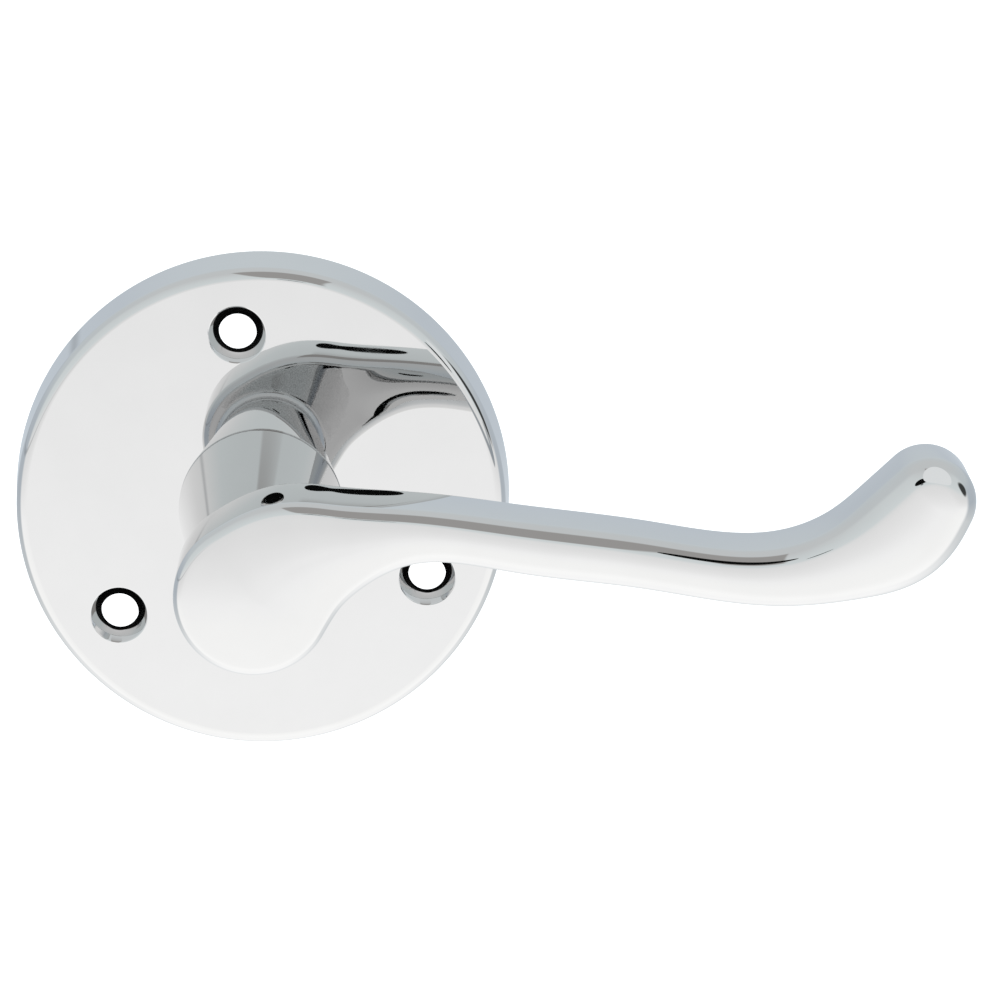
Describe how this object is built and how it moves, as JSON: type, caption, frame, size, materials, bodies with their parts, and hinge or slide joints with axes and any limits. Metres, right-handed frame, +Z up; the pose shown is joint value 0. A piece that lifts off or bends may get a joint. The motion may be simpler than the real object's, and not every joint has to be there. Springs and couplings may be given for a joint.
{
  "type": "door lever handle",
  "caption": "Scroll-shaped door lever on a round face-fixed rose, spring-returned, with a square spindle.",
  "frame": {"origin": "centre of the rose's back on the turning axis, in the plane of the door's face", "axes": "+Y into the door along the spindle, +X along the lever arm at rest, +Z up"},
  "size_m": [0.1174, 0.1012, 0.0636],
  "materials": {
    "rose_chrome": "polished chrome plate on cast zinc",
    "lever_chrome": "polished chrome plate on cast zinc",
    "nylon": "natural nylon",
    "pin_steel": "plain ground steel",
    "spring_steel": "oiled spring steel",
    "zinc_plate": "bright zinc-plated steel",
    "black_steel": "phosphated steel"
  },
  "bodies": {
    "rose": {"rose_plate": "rose_chrome", "neck_bush": "nylon", "stop_pins": "pin_steel", "spring_post": "pin_steel", "return_spring": "spring_steel"},
    "lever": {"lever_handle": "lever_chrome", "thrust_washer": "nylon", "stop_plate": "zinc_plate", "spring_washer": "spring_steel", "circlip": "black_steel", "spindle": "zinc_plate", "grub_screw": "black_steel"}
  },
  "joints": [
    {"name": "lever_turn", "type": "hinge", "parent": "rose", "child": "lever", "pos_m": [0, 0, 0], "axis": [0, 1, 0], "range_deg": [0, 45], "stiffness_Nm_per_rad": 0.6, "springref_deg": -20.05, "deforming": ["return_spring"]}
  ]
}
